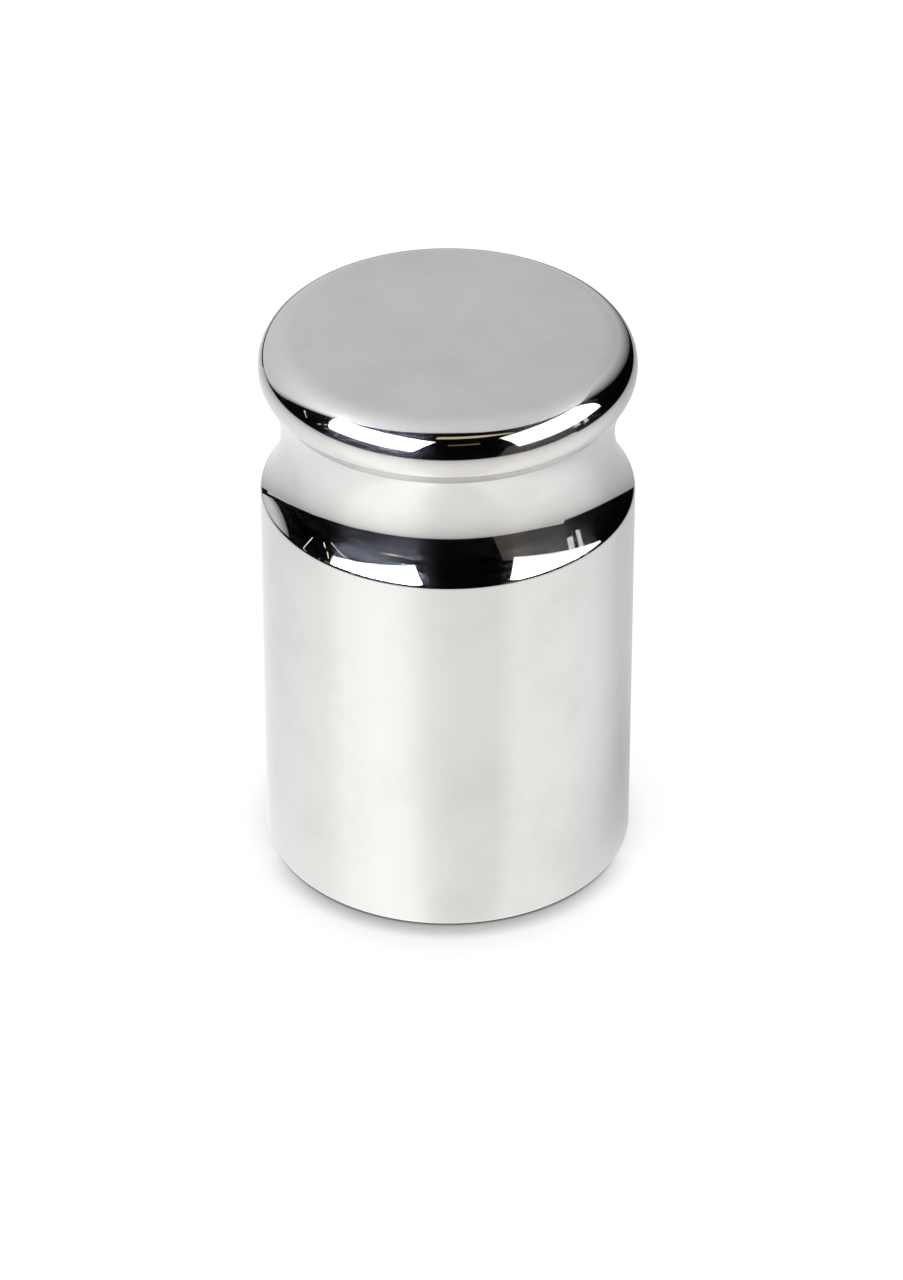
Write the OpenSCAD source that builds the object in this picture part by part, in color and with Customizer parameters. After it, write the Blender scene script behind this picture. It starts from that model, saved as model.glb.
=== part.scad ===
// Calibration weight of 1 kg, one piece of stainless steel turned all over on one axis.
// Body and knob come from one bar, so they share its diameter, and one round grip groove
// parts them. Millimetres, +Z up, origin at the centre of the base, on the plane that
// the weight stands on.

/* [Body] */
// Diameter of the bar that the body and the knob are turned from
bar_d = 47.4; // [46:0.1:56]
// Height of the body's straight wall, from the standing plane
wall_h = 51.8; // [40:0.1:65]
// Radius on the edge between the straight wall and the grip groove
shoulder_edge_r = 1.1; // [0.4:0.1:2]
// Radius on the edge at the foot of the wall
foot_edge_r = 0.8; // [0.3:0.1:1.5]

/* [Grip groove] */
// Diameter at the bottom of the groove
neck_d = 42; // [38:0.1:43.6]
// Radius of the groove's round section
groove_r = 14.2; // [11:0.1:20]

/* [Knob] */
// Radius on the knob's lower edge, which runs into the groove
knob_lower_edge_r = 4.2; // [2:0.1:5]
// Radius on the knob's upper edge, which runs into the flat top
knob_upper_edge_r = 4.2; // [1:0.1:6]
// Height of the straight wall between the knob's two edges
knob_wall_h = 0.1; // [0.1:0.1:8]

/* [Base] */
// Diameter of the shallow recess that leaves a ring to stand on
recess_d = 36; // [20:0.5:38]
// Depth of the recess, and width of the bevel round it
recess_h = 0.6; // [0.2:0.1:1]

/* [Hidden] */
$fn = 180;

bar_r = bar_d / 2;
recess_r = recess_d / 2;
// Distance that the recess's cut runs past the metal
overrun = 1;

// Centre of the groove's round section, then level by level up to the flat top
groove_x = neck_d / 2 + groove_r;
groove_z = wall_h + edge_to_groove(shoulder_edge_r);
knob_wall_z = groove_z + edge_to_groove(knob_lower_edge_r);
crown_z = knob_wall_z + knob_wall_h;
top_z = crown_z + knob_upper_edge_r;

// Heights where the groove meets the edge below it and the edge above it
groove_foot_z = wall_h + touch_share(shoulder_edge_r) * edge_to_groove(shoulder_edge_r);
groove_head_z = knob_wall_z - touch_share(knob_lower_edge_r) * edge_to_groove(knob_lower_edge_r);

// Height between the centres of the groove and of a round edge that it touches: the
// two centres lie the sum of the radii apart
function edge_to_groove(edge_r) =
    sqrt((groove_r + edge_r) ^ 2 - (groove_x - bar_r + edge_r) ^ 2);

// How far along the line from the edge's centre to the groove's centre they touch
function touch_share(edge_r) = edge_r / (groove_r + edge_r);

// Lifts a shape in two steps, whole thousandths and then the rest, which keeps the last
// digits of a worked-out height, so that arcs that touch there meet without a step
module lift(height) {
    thousandths = round(height * 1000) / 1000;
    translate([0, thousandths]) translate([0, height - thousandths]) children();
}

// A slice of the bar's half section, from height low to height high
module slice(low, high) {
    reach = 2 * (high - low);
    intersection() {
        lift(low) square([bar_r, reach]);
        lift(high) translate([0, -reach]) square([bar_r, reach]);
    }
}

// A slice whose outer end is an arc of radius edge_r centred at height centre_z
module round_slice(edge_r, centre_z, low, high) {
    centre_x = bar_r - edge_r;
    intersection() {
        slice(low, high);
        lift(centre_z) {
            translate([0, -edge_r]) square([centre_x, 2 * edge_r]);
            translate([centre_x, 0]) circle(edge_r);
        }
    }
}

// The slice between body and knob, hollowed by the groove's round section
module groove_slice() {
    difference() {
        slice(groove_foot_z, groove_head_z);
        lift(groove_z) translate([groove_x, 0]) circle(groove_r);
    }
}

// The recess under the base, with a bevel that opens towards the standing plane
module recess() {
    mouth_r = recess_r + recess_h + overrun;
    polygon([[-overrun, -overrun], [mouth_r, -overrun], [recess_r, recess_h], [-overrun, recess_h]]);
}

// The half section, from the foot up
module half_section() {
    difference() {
        union() {
            round_slice(foot_edge_r, foot_edge_r, 0, foot_edge_r);
            slice(foot_edge_r, wall_h);
            round_slice(shoulder_edge_r, wall_h, wall_h, groove_foot_z);
            groove_slice();
            round_slice(knob_lower_edge_r, knob_wall_z, groove_head_z, knob_wall_z);
            slice(knob_wall_z, crown_z);
            round_slice(knob_upper_edge_r, crown_z, crown_z, top_z);
        }
        recess();
    }
}

// The whole weight, turned about Z
module weight() {
    color([0.80, 0.80, 0.79]) rotate_extrude() half_section();
}

weight();
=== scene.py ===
import math

import bpy
import numpy as np
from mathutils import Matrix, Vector


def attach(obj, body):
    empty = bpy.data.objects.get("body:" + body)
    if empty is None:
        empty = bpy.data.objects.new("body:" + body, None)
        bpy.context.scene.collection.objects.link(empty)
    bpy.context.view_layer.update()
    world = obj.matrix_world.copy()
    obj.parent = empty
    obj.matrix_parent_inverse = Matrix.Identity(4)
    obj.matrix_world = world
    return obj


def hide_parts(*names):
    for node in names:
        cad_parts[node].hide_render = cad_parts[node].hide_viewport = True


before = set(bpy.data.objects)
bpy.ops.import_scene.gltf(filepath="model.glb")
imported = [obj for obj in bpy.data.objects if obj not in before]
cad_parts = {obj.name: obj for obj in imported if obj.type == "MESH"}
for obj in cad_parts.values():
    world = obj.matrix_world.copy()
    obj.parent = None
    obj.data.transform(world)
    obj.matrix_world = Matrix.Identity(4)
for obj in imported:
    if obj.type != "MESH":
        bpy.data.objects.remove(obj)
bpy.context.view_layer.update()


# --- The weight ----------------------------------------------------------------------
# One piece of stainless steel bar, turned on one axis: body, grip groove, round knob and
# a shallow recess under the foot. Its half section is a chain of straight cuts and round
# cuts that touch each other, so that reflections run over the edges without a break.

bar_r = 0.0237
wall_h = 0.0518
shoulder_edge_r = 0.0011
foot_edge_r = 0.0008
neck_r = 0.021
groove_r = 0.0142
knob_lower_edge_r = 0.0042
knob_upper_edge_r = 0.0042
knob_wall_h = 0.0001
recess_r = 0.018
recess_h = 0.0006

cuts_round = 360
flat_cuts = 12
rim_cuts = 2
foot_cuts = 12
wall_cuts = 24
shoulder_cuts = 20
groove_cuts = 60
knob_cuts = 24
crown_cuts = 48

groove_x = neck_r + groove_r


def rise_to_groove(edge_r):
    """Height between the centre of a round edge and the centre of the groove."""
    return math.sqrt((groove_r + edge_r) ** 2 - (groove_x - bar_r + edge_r) ** 2)


def lean_to_groove(edge_r):
    """Angle above the level of the line that joins those two centres."""
    return math.atan2(rise_to_groove(edge_r), groove_x - bar_r + edge_r)


def straight_cut(start, end, normal, cuts=1):
    """A straight part of the half section, as rows of radius, height and normal."""
    points = np.linspace(start, end, cuts + 1)
    return np.hstack([points, np.tile(normal, (cuts + 1, 1))])


def round_cut(centre_x, centre_z, radius, first, last, cuts, hollow=False):
    """A round part between two angles. Its normal points inwards where it is hollow."""
    angles = np.linspace(first, last, cuts + 1)
    out = np.column_stack([np.cos(angles), np.sin(angles)])
    return np.hstack([[centre_x, centre_z] + radius * out, -out if hollow else out])


groove_z = wall_h + rise_to_groove(shoulder_edge_r)
knob_wall_z = groove_z + rise_to_groove(knob_lower_edge_r)
crown_z = knob_wall_z + knob_wall_h
top_z = crown_z + knob_upper_edge_r
shoulder_x = bar_r - shoulder_edge_r
shoulder_lean = lean_to_groove(shoulder_edge_r)
knob_lower_x = bar_r - knob_lower_edge_r
knob_lean = lean_to_groove(knob_lower_edge_r)
groove_foot = math.pi + shoulder_lean
groove_head = math.pi - knob_lean
crown_x = bar_r - knob_upper_edge_r
foot_x = bar_r - foot_edge_r
mouth_r = recess_r + recess_h
quarter = math.pi / 2
slant = math.sqrt(0.5)

half_section = [
    straight_cut((0, recess_h), (recess_r, recess_h), (0, -1), flat_cuts),
    straight_cut((recess_r, recess_h), (mouth_r, 0), (-slant, -slant)),
    straight_cut((mouth_r, 0), (foot_x, 0), (0, -1), rim_cuts),
    round_cut(foot_x, foot_edge_r, foot_edge_r, -quarter, 0, foot_cuts),
    straight_cut((bar_r, foot_edge_r), (bar_r, wall_h), (1, 0), wall_cuts),
    round_cut(shoulder_x, wall_h, shoulder_edge_r, 0, shoulder_lean, shoulder_cuts),
    round_cut(groove_x, groove_z, groove_r, groove_foot, groove_head, groove_cuts, hollow=True),
    round_cut(knob_lower_x, knob_wall_z, knob_lower_edge_r, -knob_lean, 0, knob_cuts),
    straight_cut((bar_r, knob_wall_z), (bar_r, crown_z), (1, 0)),
    round_cut(crown_x, crown_z, knob_upper_edge_r, 0, quarter, crown_cuts),
    straight_cut((crown_x, top_z), (0, top_z), (0, 1), flat_cuts),
]


def turned_mesh(name, cuts, steps_round):
    """A closed mesh turned about Z. The cuts start and end on the axis."""
    rings = np.vstack([cuts[0][:1, :2]] + [cut[1:, :2] for cut in cuts])
    travel = np.append(0, np.cumsum(np.hypot(*np.diff(rings, axis=0).T)))
    angles = np.arange(steps_round) * 2 * math.pi / steps_round
    around = np.column_stack([np.cos(angles), np.sin(angles)])
    last = len(rings) - 1
    points = [(0, 0, rings[0, 1])]
    tool_path = [(0, 0, travel[0])]
    for (radius, height), way in zip(rings[1:last], travel[1:last]):
        for x, y in radius * around:
            points.append((x, y, height))
            tool_path.append((x, y, way))
    points.append((0, 0, rings[last, 1]))
    tool_path.append((0, 0, travel[last]))

    def corner(ring, step):
        if ring == 0:
            return 0
        if ring == last:
            return len(points) - 1
        return 1 + (ring - 1) * steps_round + step % steps_round

    faces = []
    normals = []
    ring = 0
    for cut in cuts:
        for low, high in zip(cut[:-1, 2:], cut[1:, 2:]):
            for step in range(steps_round):
                near = around[step]
                far = around[(step + 1) % steps_round]
                face = [(ring, step), (ring, step + 1), (ring + 1, step + 1), (ring + 1, step)]
                sides = [(near, low), (far, low), (far, high), (near, high)]
                if ring == 0:
                    face = face[1:]
                    sides = sides[1:]
                if ring + 1 == last:
                    face = face[:3]
                    sides = sides[:3]
                faces.append([corner(*place) for place in face])
                normals += [(out * x, out * y, up) for (x, y), (out, up) in sides]
            ring += 1
    mesh = bpy.data.meshes.new(name)
    mesh.from_pydata(points, [], faces)
    mesh.normals_split_custom_set(normals)
    marks = mesh.attributes.new("tool_path", "FLOAT_VECTOR", "POINT")
    marks.data.foreach_set("vector", np.array(tool_path, np.float32).ravel())
    made = bpy.data.objects.new(name, mesh)
    bpy.context.scene.collection.objects.link(made)
    return made


weight = turned_mesh("turned_weight", half_section, cuts_round)

# The steel is polished on the lathe. It mirrors, but a small share of its light meets the
# fine lines round the axis. They spread it up and down, as a bluish sheen by the lights.
# The lines are uneven at the foot of the groove, and wiping left faint smudges and specks.
steel_color = (0.66, 0.655, 0.645)
smudged_color = (0.608, 0.604, 0.596)
speck_color = (0.22, 0.21, 0.20)
mirror_roughness = 0.015
line_roughness = 0.25
line_share = 0.018
line_turn = 0.25
streak_length = 0.005
streak_width = 0.00025
streak_detail = 3
streak_low = 0.4
streak_high = 0.6
streak_contrast = 0.8
lines_end_z = 0.0565
groove_blend = 0.002
smudge_size = 0.014
smudge_detail = 4
smudge_low = 0.45
smudge_high = 0.7
cloudiness = 0.6
speck_spacing = 0.0035
speck_r = 0.00016
speck_share = 0.12


def node(tree, kind, **inputs):
    """A new node with some of its inputs set, or linked where given an output."""
    made = tree.nodes.new("ShaderNode" + kind)
    for name, value in inputs.items():
        numbered = name[0] == "i" and name[1:].isdigit()
        socket = made.inputs[int(name[1:]) if numbered else name.replace("_", " ")]
        if isinstance(value, bpy.types.NodeSocket):
            tree.links.new(value, socket)
        else:
            socket.default_value = value
    return made


def math_node(tree, operation, first, second=0):
    """A sum, product, power or comparison of two values, each a number or an output."""
    made = node(tree, "Math", i0=first, i1=second)
    made.operation = operation
    return made.outputs[0]


def spread(tree, value, low, high, to_low, to_high):
    """A value from one range moved to another, and held within it."""
    made = node(
        tree, "MapRange", Value=value, From_Min=low, From_Max=high, To_Min=to_low, To_Max=to_high
    )
    return made.outputs[0]


def blend(tree, share, first, second):
    """A colour between two, each a colour or an output."""
    made = node(tree, "Mix")
    made.data_type = "RGBA"
    tree.links.new(share, made.inputs["Factor"])
    for socket, color in ((made.inputs["A"], first), (made.inputs["B"], second)):
        if isinstance(color, bpy.types.NodeSocket):
            tree.links.new(color, socket)
        else:
            socket.default_value = (*color, 1)
    return made.outputs["Result"]


steel = bpy.data.materials.new("polished_steel")
steel.use_nodes = True
tree = steel.node_tree
mirror = tree.nodes["Principled BSDF"]
mirror.inputs["Metallic"].default_value = 1
mirror.inputs["Roughness"].default_value = mirror_roughness
lines = node(tree, "BsdfPrincipled", Metallic=1, Roughness=line_roughness, Anisotropic=1)
lines.inputs["Anisotropic Rotation"].default_value = line_turn
round_axis = node(tree, "Tangent")
round_axis.direction_type = "RADIAL"
round_axis.axis = "Z"
tree.links.new(round_axis.outputs[0], lines.inputs["Tangent"])

tool_path = node(tree, "Attribute")
tool_path.attribute_name = "tool_path"
streak_scale = (1 / streak_length, 1 / streak_length, 1 / streak_width)
streaks_at = node(tree, "Mapping", Vector=tool_path.outputs["Vector"], Scale=streak_scale)
streaks = node(
    tree, "TexNoise", Vector=streaks_at.outputs[0], Scale=1, Detail=streak_detail, Roughness=cloudiness
)
depth = spread(
    tree, streaks.outputs["Fac"], streak_low, streak_high, -streak_contrast, streak_contrast
)
place = node(tree, "TexCoord").outputs["Object"]
height = node(tree, "SeparateXYZ", Vector=place).outputs["Z"]
above_wall = spread(tree, height, wall_h, wall_h + shoulder_edge_r, 0, 1)
below_neck = spread(tree, height, lines_end_z, lines_end_z + groove_blend, 1, 0)
in_groove = math_node(tree, "MULTIPLY", above_wall, below_neck)
swing = math_node(tree, "MULTIPLY", depth, in_groove)
local_share = math_node(tree, "MULTIPLY", math_node(tree, "ADD", swing, 1), line_share)
polished = node(tree, "MixShader", i0=local_share, i1=mirror.outputs[0], i2=lines.outputs[0])
tree.links.new(polished.outputs[0], tree.nodes["Material Output"].inputs["Surface"])

smudges = node(
    tree, "TexNoise", Vector=place, Scale=1 / smudge_size, Detail=smudge_detail, Roughness=cloudiness
)
smudge_share = spread(tree, smudges.outputs["Fac"], smudge_low, smudge_high, 0, 1)
smudged = blend(tree, smudge_share, steel_color, smudged_color)
specks = node(tree, "TexVoronoi", Vector=place, Scale=1 / speck_spacing)
near_speck = math_node(tree, "LESS_THAN", specks.outputs["Distance"], speck_r / speck_spacing)
speck_kept = math_node(tree, "LESS_THAN", specks.outputs["Color"], speck_share)
speckled = blend(tree, math_node(tree, "MULTIPLY", near_speck, speck_kept), smudged, speck_color)
for shader in (mirror, lines):
    tree.links.new(speckled, shader.inputs["Base Color"])
weight.data.materials.append(steel)

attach(weight, "root")
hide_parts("weight")


# --- The floor -----------------------------------------------------------------------
# A plain matt white floor that runs out into the white background. It takes the lamps'
# shadow, and a painted shade darkens its glow at the foot, deepest in front. The metal
# mirrors the table below in its place.

floor_reach = 3.0
floor_color = (0.8, 0.8, 0.8)
floor_glow = 0.74
contact_reach = 0.0032
contact_depth = 2.3
near_reach = 0.014
near_depth = 0.5
shade_start = 0.35
shade_elsewhere = 0.08
shade_samples = 4
toward_front = (0, -1, 0)


def staged(name, points, faces, material):
    """A thing of the studio, which isn't part of the weight."""
    mesh = bpy.data.meshes.new(name)
    mesh.from_pydata(points, [], faces)
    mesh.materials.append(material)
    made = bpy.data.objects.new(name, mesh)
    bpy.context.scene.collection.objects.link(made)
    return made


def vector_node(tree, operation, first, second=(0, 0, 0)):
    """The outputs of a node for the product, distance or length of vectors."""
    made = node(tree, "VectorMath", i0=first, i1=second)
    made.operation = operation
    return made.outputs


def seen_rays(tree):
    """1 for what the camera, a mirror or glass shows, and 0 for light that spreads."""
    light_path = node(tree, "LightPath").outputs
    mirrored = math_node(
        tree, "MAXIMUM", light_path["Is Glossy Ray"], light_path["Is Transmission Ray"]
    )
    return math_node(tree, "MAXIMUM", light_path["Is Camera Ray"], mirrored)


def floor_shade(tree, reach, depth, share):
    """A painted shade in the floor's glow near the foot, at a share of its full depth."""
    openness = node(tree, "AmbientOcclusion", Distance=reach)
    openness.samples = shade_samples
    local_depth = math_node(tree, "MULTIPLY", share, depth)
    return math_node(tree, "POWER", openness.outputs["AO"], local_depth)


floor_white = bpy.data.materials.new("floor_white")
floor_white.use_nodes = True
tree = floor_white.node_tree
floor_shader = tree.nodes["Principled BSDF"]
floor_shader.inputs["Base Color"].default_value = (*floor_color, 1)
floor_shader.inputs["Roughness"].default_value = 1
floor_shader.inputs["Specular IOR Level"].default_value = 0
floor_shader.inputs["Emission Color"].default_value = (1, 1, 1, 1)
way_out = vector_node(tree, "NORMALIZE", node(tree, "TexCoord").outputs["Object"])["Vector"]
to_front = vector_node(tree, "DOT_PRODUCT", way_out, toward_front)["Value"]
# Painted shade: the floor's glow is darkened by how open it is near the foot, most in front.
front_share = spread(tree, to_front, shade_start, 1, shade_elsewhere, 1)
contact_shade = floor_shade(tree, contact_reach, contact_depth, front_share)
near_shade = floor_shade(tree, near_reach, near_depth, front_share)
shades = math_node(tree, "MULTIPLY", contact_shade, near_shade)
glow_here = math_node(tree, "MULTIPLY", shades, floor_glow)
floor_light = math_node(tree, "MULTIPLY", seen_rays(tree), glow_here)
tree.links.new(floor_light, floor_shader.inputs["Emission Strength"])

floor_corners = [
    (-floor_reach, -floor_reach, 0),
    (floor_reach, -floor_reach, 0),
    (floor_reach, floor_reach, 0),
    (-floor_reach, floor_reach, 0),
]
floor = staged("floor", floor_corners, [(0, 1, 2, 3)], floor_white)
floor.visible_glossy = False


# --- The table -----------------------------------------------------------------------
# The white table top, as the weight mirrors it: a disc that only glows, with its light
# and shade painted into the glow. It is lit best on the left in front, less so on the
# right behind, and less and less towards its edge, and a painted shadow of the weight
# lies on it on the right.

table_r = 0.295
table_steps = 128
table_tint = (1.0, 0.988, 0.967)
side_tint = (0.995, 1.0, 1.015)
side_start = 95
light_centre = (0, -0.0155, 0)
light_by_bearing = [
    (-180, 0.9),
    (-150, 0.97),
    (-120, 1.03),
    (-100, 1.11),
    (-82, 1.18),
    (-68, 1.34),
    (-46, 1.42),
    (-28, 1.36),
    (-10, 1.14),
    (6, 1.07),
    (32, 1.06),
    (46, 1.17),
    (78, 1.15),
    (100, 1.05),
    (112, 0.93),
    (124, 0.78),
    (136, 0.73),
    (152, 0.68),
    (170, 0.68),
    (180, 0.9),
]
light_by_distance = [
    (0.02, 1.03),
    (0.06, 1.02),
    (0.09, 1.0),
    (0.15, 0.87),
    (0.21, 0.74),
    (0.26, 0.62),
    (0.30, 0.5),
]
brightest = 2.0
own_shadow_centre = (0.027, 0.008, 0)
own_shadow_depth = [
    (0.010, 0.79),
    (0.015, 0.86),
    (0.020, 0.92),
    (0.030, 0.98),
    (0.040, 1.0),
]


def glowing(name, color=(1, 1, 1)):
    """A material that only glows, with its node tree, for things that are only mirrored."""
    material = bpy.data.materials.new(name)
    material.use_nodes = True
    tree = material.node_tree
    tree.nodes.remove(tree.nodes["Principled BSDF"])
    glow = node(tree, "Emission", Color=(*color, 1))
    tree.links.new(glow.outputs[0], tree.nodes["Material Output"].inputs["Surface"])
    return material, tree, glow


def shine(tree, glow, level):
    """Sets how strongly a glow shows. The metal doesn't throw it on the floor's shadow."""
    bounces = node(tree, "LightPath").outputs["Diffuse Depth"]
    off_floor = math_node(tree, "LESS_THAN", bounces, 1)
    tree.links.new(math_node(tree, "MULTIPLY", off_floor, level), glow.inputs["Strength"])


def only_mirrored(thing):
    """Shows a staged thing in the metal, but not to the camera or on the floor."""
    thing.visible_camera = False
    thing.visible_diffuse = False
    thing.visible_transmission = False
    thing.visible_shadow = False
    return thing


def ramp(tree, value, stops):
    """A ramp of light over a value, from a list of places, levels and tints."""
    made = node(tree, "ValToRGB", Fac=value)
    elements = made.color_ramp.elements
    while len(elements) < len(stops):
        elements.new(0.5)
    for element, (position, level, tint) in zip(elements, stops):
        element.position = position
        element.color = (*[level * part for part in tint], 1)
    return made.outputs["Color"]


def plain_ramp(tree, value, stops):
    """A ramp of white light, from a list of places and levels."""
    return ramp(tree, value, [(position, level, (1, 1, 1)) for position, level in stops])


table_light, tree, glow = glowing("table_light")
place = node(tree, "TexCoord").outputs["Object"]
from_centre = node(tree, "Mapping", Vector=place)
from_centre.inputs["Rotation"].default_value = (0, 0, quarter)
from_centre.inputs["Location"].default_value = (light_centre[1], -light_centre[0], 0)
bearing = node(tree, "TexGradient", Vector=from_centre.outputs[0])
bearing.gradient_type = "RADIAL"
# These levels go in as shares of the brightest, and the strength of the glow makes up for it.
bearing_stops = [
    (0.5 + angle / 360, level / brightest, table_tint if abs(angle) < side_start else side_tint)
    for angle, level in light_by_bearing
]
by_bearing = ramp(tree, bearing.outputs["Fac"], bearing_stops)
distance = vector_node(tree, "LENGTH", place)["Value"]
by_distance = plain_ramp(tree, distance, light_by_distance)
# A painted shadow of the weight, darkening the table's glow around a point on the right.
from_shadow = vector_node(tree, "DISTANCE", place, own_shadow_centre)["Value"]
own_shadow = plain_ramp(tree, from_shadow, own_shadow_depth)
lit = vector_node(tree, "MULTIPLY", by_bearing, by_distance)["Vector"]
shadowed = vector_node(tree, "MULTIPLY", lit, own_shadow)["Vector"]
tree.links.new(shadowed, glow.inputs["Color"])
shine(tree, glow, brightest)

table_rim = [
    (table_r * math.cos(turn), table_r * math.sin(turn), 0)
    for turn in np.linspace(0, 2 * math.pi, table_steps, endpoint=False)
]
only_mirrored(staged("table_top", table_rim, [range(table_steps)], table_light))


# --- The light panels ----------------------------------------------------------------
# Two flat panels in front of the weight, one on each side of the camera. Each is a pale
# sheet with a bright tube behind it, from end to end at half height.

left_face = 1.9
left_mean = 38.0
left_tint = (0.86, 0.94, 1.2)
right_face = 1.48
right_mean = 16.0
right_tint = (1, 1, 0.99)
tube_full = 0.5
tube_edge = 0.95
tube_end = 0.85


def panel_light(name, color, face_level, mean_level):
    """The light of a panel, from the level of its face and the mean of face and tube."""
    material, tree, glow = glowing(name, color)
    on_panel = node(tree, "Attribute")
    on_panel.attribute_name = "on_panel"
    places = node(tree, "SeparateXYZ", Vector=on_panel.outputs["Vector"]).outputs
    off_tube = math_node(tree, "ABSOLUTE", places["Y"])
    tube = node(
        tree, "MapRange", Value=off_tube, From_Min=tube_full, From_Max=tube_edge, To_Min=1, To_Max=0
    )
    tube.interpolation_type = "SMOOTHSTEP"
    ends = spread(tree, math_node(tree, "ABSOLUTE", places["X"]), tube_end, 1, 1, 0)
    tube_share = (tube_full + tube_edge) / 2 * (1 + tube_end) / 2
    tube_level = (mean_level - face_level) / tube_share
    tube_shape = math_node(tree, "MULTIPLY", tube.outputs[0], ends)
    tube_part = math_node(tree, "MULTIPLY", tube_shape, tube_level)
    shine(tree, glow, math_node(tree, "ADD", tube_part, face_level))
    return material


def panel(name, middle, turn, lean, roll, width, height, light):
    """A flat panel. Turn is its bearing from the weight, 0 towards the camera."""
    turn, lean, roll = map(math.radians, (turn, lean, roll))
    away = Vector((math.sin(turn), -math.cos(turn), 0))
    side = Vector((math.cos(turn), math.sin(turn), 0))
    up = Vector((0, 0, 1)) * math.cos(lean) - away * math.sin(lean)
    half_across = (side * math.cos(roll) + up * math.sin(roll)) * width / 2
    half_up = (up * math.cos(roll) - side * math.sin(roll)) * height / 2
    ways = [(-1, -1, 0), (1, -1, 0), (1, 1, 0), (-1, 1, 0)]
    corners = [Vector(middle) + half_across * i + half_up * j for i, j, _ in ways]
    made = only_mirrored(staged(name, corners, [(0, 1, 2, 3)], light))
    marks = made.data.attributes.new("on_panel", "FLOAT_VECTOR", "POINT")
    marks.data.foreach_set("vector", np.array(ways, np.float32).ravel())
    return made


panel(
    "left_panel",
    middle=(-0.0825, -0.0875, 0.1348),
    turn=-38.3,
    lean=32.2,
    roll=-3.3,
    width=0.1325,
    height=0.0939,
    light=panel_light("left_light", left_tint, left_face, left_mean),
)
panel(
    "right_panel",
    middle=(0.1846, -0.0779, 0.1877),
    turn=64.3,
    lean=9.5,
    roll=1.9,
    width=0.2334,
    height=0.1765,
    light=panel_light("right_light", right_tint, right_face, right_mean),
)


# --- The grey paper ------------------------------------------------------------------
# A wide sheet of pale grey paper that rises behind the weight and bends over its top.
# It only glows, with painted light: brightest near its front corner on the left, with a
# second bright spot and a dim one, and fading towards its edges. Its outline is given in
# bearings and elevations from the middle of the weight, in degrees.

paper_away = 0.45
paper_steps = 96
paper_rows = 40
paper_tint = (1.0, 0.985, 0.995)
eye = Vector((0, 0, 0.072))
left_corner = (-76, 46)
right_corner = (103, 42)
left_edge = [
    (-127, -10),
    (-120, -7.7),
    (-113, -3.7),
    (-108, 0.6),
    (-104.7, 4.3),
    (-102, 8.6),
    (-94, 20),
    (-87, 30),
    (-81, 38),
    left_corner,
]
right_edge = [(152, -10), (143, -3), (134, 5), (126, 13), (118, 21), (110, 31), right_corner]
front_edge = [
    left_corner,
    (-62, 57.5),
    (-47, 66),
    (-30, 71.5),
    (-15, 74.5),
    (0, 76),
    (15, 75.5),
    (30, 73),
    (45, 68.5),
    (60, 62.5),
    (75, 56),
    (90, 49),
    right_corner,
]
plain_level = 0.735
bright_spot = (-85, 48)
bright_gain = 0.72
bright_spread = 26
right_spot = (104, 46)
right_gain = 0.35
right_spread = 14
dim_spot = (150, 22)
dim_loss = 0.15
dim_spread = 26
right_fade = 30
right_fade_curve = 0.8
left_fade = 9
left_fade_start = 1
left_fade_curve = 0.7
front_fade = 0.05
front_fade_gain = 0.07
front_fade_start = 0.02
front_fade_curve = 0.7

paper_points = []
paper_levels = []


def toward(bearing, elevation):
    """The direction with that bearing and elevation, in degrees."""
    turn, rise = math.radians(bearing), math.radians(elevation)
    level = math.cos(rise)
    return Vector((math.sin(turn) * level, -math.cos(turn) * level, math.sin(rise)))


def along(stops, share):
    """The place at a share of the way along a list of bearings and elevations."""
    at = share * (len(stops) - 1)
    step = min(int(at), len(stops) - 2)
    part = at - step
    return [a + (b - a) * part for a, b in zip(stops[step], stops[step + 1])]


def round_back(right, left, share):
    """The direction at a share of the way round the back, from the right to the left."""
    bearing = right[0] + (left[0] + 360 - right[0]) * share
    return toward(bearing, right[1] + (left[1] - right[1]) * share)


def off_spot(way, spot):
    """Degrees between a direction and a spot on the paper."""
    return math.degrees(way.angle(toward(*spot)))


def paper_level(way):
    """The paper's painted light in one direction, with two bright spots and a dim one."""
    level = plain_level
    level += bright_gain * math.exp(-off_spot(way, bright_spot) / bright_spread)
    level += right_gain * math.exp(-off_spot(way, right_spot) / right_spread)
    level -= dim_loss * math.exp(-((off_spot(way, dim_spot) / dim_spread) ** 2))
    return level


def add_point(way, fade):
    """One point of the paper in that direction, with its light."""
    paper_points.append(eye + way * paper_away)
    paper_levels.append(paper_level(way) * fade)


def grid_faces(rows, row_length, closed=False):
    """The faces between rows of points. Each row runs on to its own start if closed."""
    faces = []
    for low in range(0, (rows - 1) * row_length, row_length):
        high = low + row_length
        for step in range(row_length if closed else row_length - 1):
            after = (step + 1) % row_length
            faces.append((low + step, low + after, high + after, high + step))
    return faces


shares = np.linspace(0, 1, paper_steps + 1)
heights = np.linspace(0, 1, paper_rows)
for rise in heights:
    left = along(left_edge, rise)
    right = along(right_edge, rise)
    span = left[0] + 360 - right[0]
    for share in shares:
        fade = min(1, span * share / right_fade) ** right_fade_curve
        fade *= min(1, (span * (1 - share) + left_fade_start) / left_fade) ** left_fade_curve
        add_point(round_back(right, left, share), fade)
for reach in heights[1:]:
    for share in shares:
        back = round_back(right_corner, left_corner, share)
        front = toward(*along(front_edge, 1 - share))
        from_front = (1 - reach + front_fade_start) / (front_fade + front_fade_gain * share)
        add_point(back.lerp(front, reach).normalized(), min(1, from_front) ** front_fade_curve)
paper_faces = grid_faces(2 * paper_rows - 1, paper_steps + 1)

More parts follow.
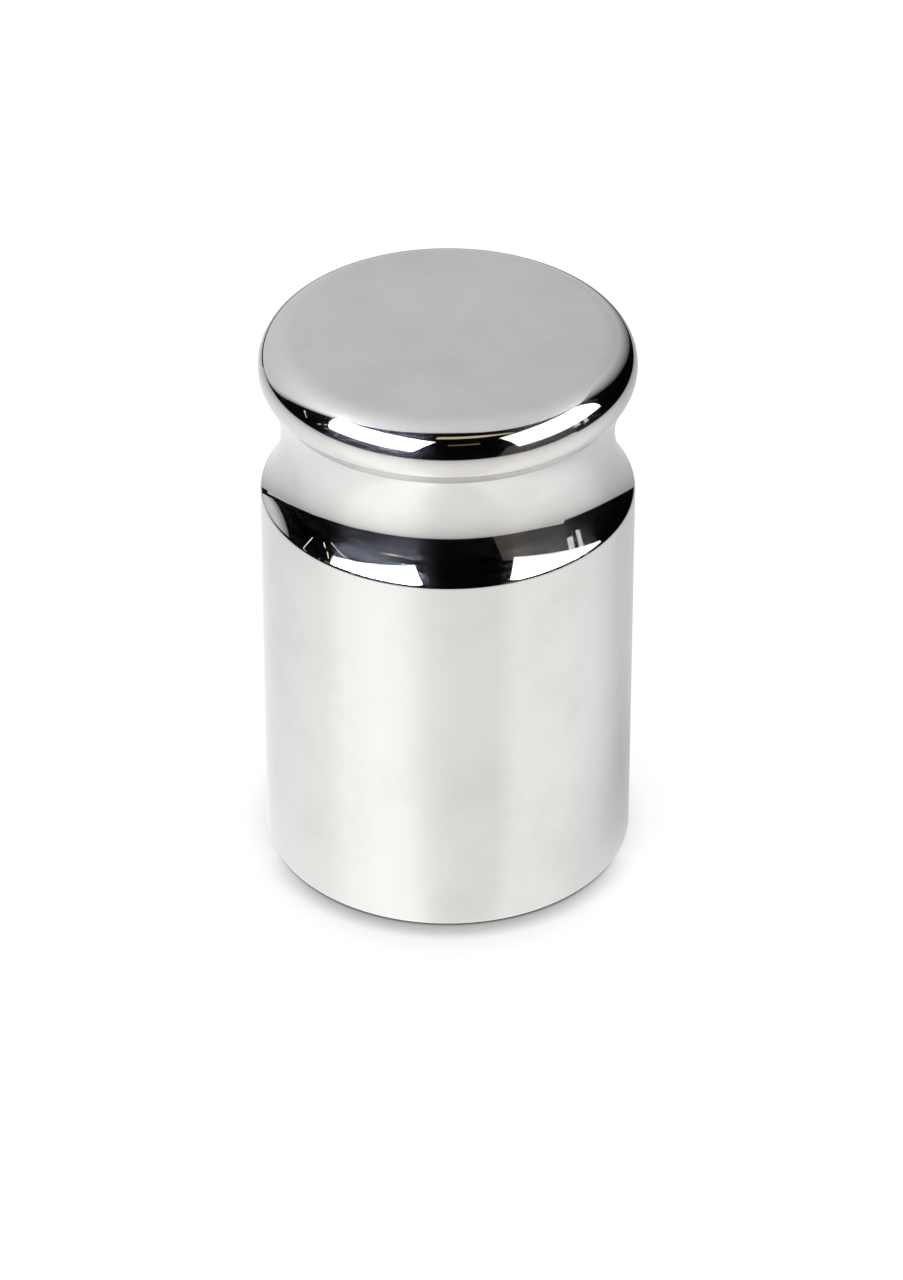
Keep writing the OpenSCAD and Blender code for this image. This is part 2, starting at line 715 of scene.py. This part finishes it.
paper_light, tree, glow = glowing("paper_light", paper_tint)
shade = node(tree, "Attribute")
shade.attribute_name = "shade"
shine(tree, glow, shade.outputs["Fac"])
paper = only_mirrored(staged("grey_paper", paper_points, paper_faces, paper_light))
paper.data.attributes.new("shade", "FLOAT", "POINT").data.foreach_set("value", paper_levels)


# --- The dark room -------------------------------------------------------------------
# The unlit room behind the lights, as a dome with flat cards before it. What shows in it
# is a pale beam overhead, two narrow windows and two dim walls on the right, the far edges
# of the table, and a few thin bright edges of stands. The beam, the walls, the table's
# edges and the stands' edges are painted light on cards that only glow. Corners are
# bearings and elevations.

room_away = 1.2
room_rings = 24
room_steps = 48
card_away = 0.5
wall_away = 0.6
edge_width = 0.3
wide_edge = 0.35
fine_edge = 0.22
shoulder_eye = Vector((0, 0, 0.053))


def even_light(name, color, level):
    """A material that glows evenly."""
    material, tree, glow = glowing(name, color)
    shine(tree, glow, level)
    return material


def card(name, corners, light, away=card_away, vantage=shoulder_eye):
    """A flat thing in the room, by the directions of its corners from the weight."""
    points = [vantage + toward(*corner) * away for corner in corners]
    return only_mirrored(staged(name, points, [range(len(points))], light))


def bright_edge(name, start, end, width, light):
    """A thin bright line between two directions, of a width in degrees."""
    a, b = toward(*start), toward(*end)
    aside = (b - a).cross(a).normalized() * math.radians(width) / 2
    corners = (a - aside, b - aside, b + aside, a + aside)
    points = [shoulder_eye + corner * card_away for corner in corners]
    return only_mirrored(staged(name, points, [(0, 1, 2, 3)], light))


room_dark = even_light("room_dark", (1, 1, 1.1), 0.0005)
room_points = [
    eye + toward(360 * step / room_steps, -90 + 180 * ring / room_rings) * room_away
    for ring in range(room_rings + 1)
    for step in range(room_steps)
]
room_faces = grid_faces(room_rings + 1, room_steps, closed=True)
only_mirrored(staged("dark_room", room_points, room_faces, room_dark))

beam_tan = even_light("beam_tan", (1.0, 0.82, 0.55), 0.75)
beam_dim = even_light("beam_dim", (1.0, 0.85, 0.5), 0.14)
beam = [(-9, 55), (22, 55), (50, 50), (48, 53), (30, 61), (0, 63), (-9, 62)]
card("beam", beam, beam_tan, vantage=eye)
card("beam_low", [(0, 33), (20, 33), (20, 38), (0, 37)], beam_dim, vantage=eye)

window_light = even_light("window_light", (0.95, 1, 1.02), 0.8)
card("window_a", [(75, 4), (79, 3), (79, 13), (75, 13)], window_light)
card("window_b", [(82, 0), (85, 0), (85, 13), (82, 13)], window_light)

edge_light = even_light("edge_light", (1, 0.95, 0.85), 3.0)
edge_gold = even_light("edge_gold", (1, 0.78, 0.42), 3.0)
bright_edge("stand_edge_a", (-91, 16.7), (-86, 6.7), edge_width, edge_light)
bright_edge("stand_edge_b", (-91, 16.7), (-89.3, 17.7), edge_width, edge_light)
bright_edge("stand_edge_c", (-76, 11.7), (-77.7, 8), wide_edge, edge_light)
bright_edge("stand_edge_d", (-61, 17.3), (-72.7, 6.7), fine_edge, edge_light)
bright_edge("stand_edge_f", (-73, 19.3), (-74.3, 14.7), wide_edge, edge_gold)
bright_edge("stand_edge_e", (-38, 7), (-29, 8.2), wide_edge, edge_gold)

table_far_left = even_light("table_far_left", (1.0, 1.0, 1.0), 0.62)
table_far_right = even_light("table_far_right", (1.0, 0.985, 0.96), 0.7)
far_left = [
    (-140, -12.5),
    (-25, -12.5),
    (-28, -11),
    (-60, -10.2),
    (-90, -9.7),
    (-115, -9.2),
    (-135, -9),
]
far_right = [(46, -12.5), (77, -12.5), (76, -8.5), (50, -10.8)]
card("table_far_right", far_right, table_far_right)
card("table_far_left", far_left, table_far_left)

far_wall = even_light("far_wall", (1.0, 0.88, 0.85), 0.07)
far_corner = even_light("far_corner", (0.9, 0.97, 1.1), 0.035)
card("far_wall", [(27, -14), (50, -14), (50, 13), (33, 13)], far_wall, wall_away)
card("far_corner", [(50, -14), (76, -12), (76, 13), (50, 13)], far_corner, wall_away)


# --- The lamps -----------------------------------------------------------------------
# Soft light from beyond the two panels and from overhead, for the floor and the shadow.
# Each lamp is a plain rectangle turned towards the weight.

lamp_aim = (0, 0, 0.02)


def lamp(name, place, aim, width, height, power):
    """A soft rectangular lamp, which is neither seen nor mirrored itself."""
    light = bpy.data.lights.new(name, "AREA")
    light.shape = "RECTANGLE"
    light.size = width
    light.size_y = height
    light.energy = power
    made = bpy.data.objects.new(name, light)
    made.location = place
    made.rotation_euler = (Vector(aim) - Vector(place)).to_track_quat("-Z", "Y").to_euler()
    made.visible_camera = False
    made.visible_glossy = False
    bpy.context.scene.collection.objects.link(made)
    return made


lamp("left_lamp", (-0.16, -0.17, 0.26), lamp_aim, width=0.13, height=0.10, power=0.12)
lamp("right_lamp", (0.27, -0.11, 0.27), lamp_aim, width=0.23, height=0.18, power=0.12)
lamp("over_lamp", (0, 0, 0.6), (0, 0, 0), width=0.7, height=0.7, power=0.5)


# --- The white room ------------------------------------------------------------------
# What lies beyond all the rest. It is plain white where it is seen, and gives a dim light
# from all sides.

room_level = 0.3

world = bpy.data.worlds.new("white_room")
bpy.context.scene.world = world
world.use_nodes = True
tree = world.node_tree
background = tree.nodes["Background"]
background.inputs["Color"].default_value = (1, 1, 1, 1)
level = spread(tree, seen_rays(tree), 0, 1, room_level, 1)
tree.links.new(level, background.inputs["Strength"])


# --- The camera ----------------------------------------------------------------------
# It looks down on the weight from the front, from well away, through a long lens. The
# lens and the sensor are in millimetres, and all other lengths in this file in metres.

camera_tilt = math.radians(34.542)
camera_place = (0, -0.6406, 0.4691)
sensor_width = 36
lens_length = 170.1
lens_shift = 0.0029

camera_data = bpy.data.cameras.new("camera")
camera_data.sensor_width = sensor_width
camera_data.lens = lens_length
camera_data.shift_x = lens_shift
camera = bpy.data.objects.new("camera", camera_data)
camera.location = camera_place
camera.rotation_euler = (quarter - camera_tilt, 0, 0)
bpy.context.scene.collection.objects.link(camera)
bpy.context.scene.camera = camera
bpy.context.scene.view_settings.view_transform = "Standard"
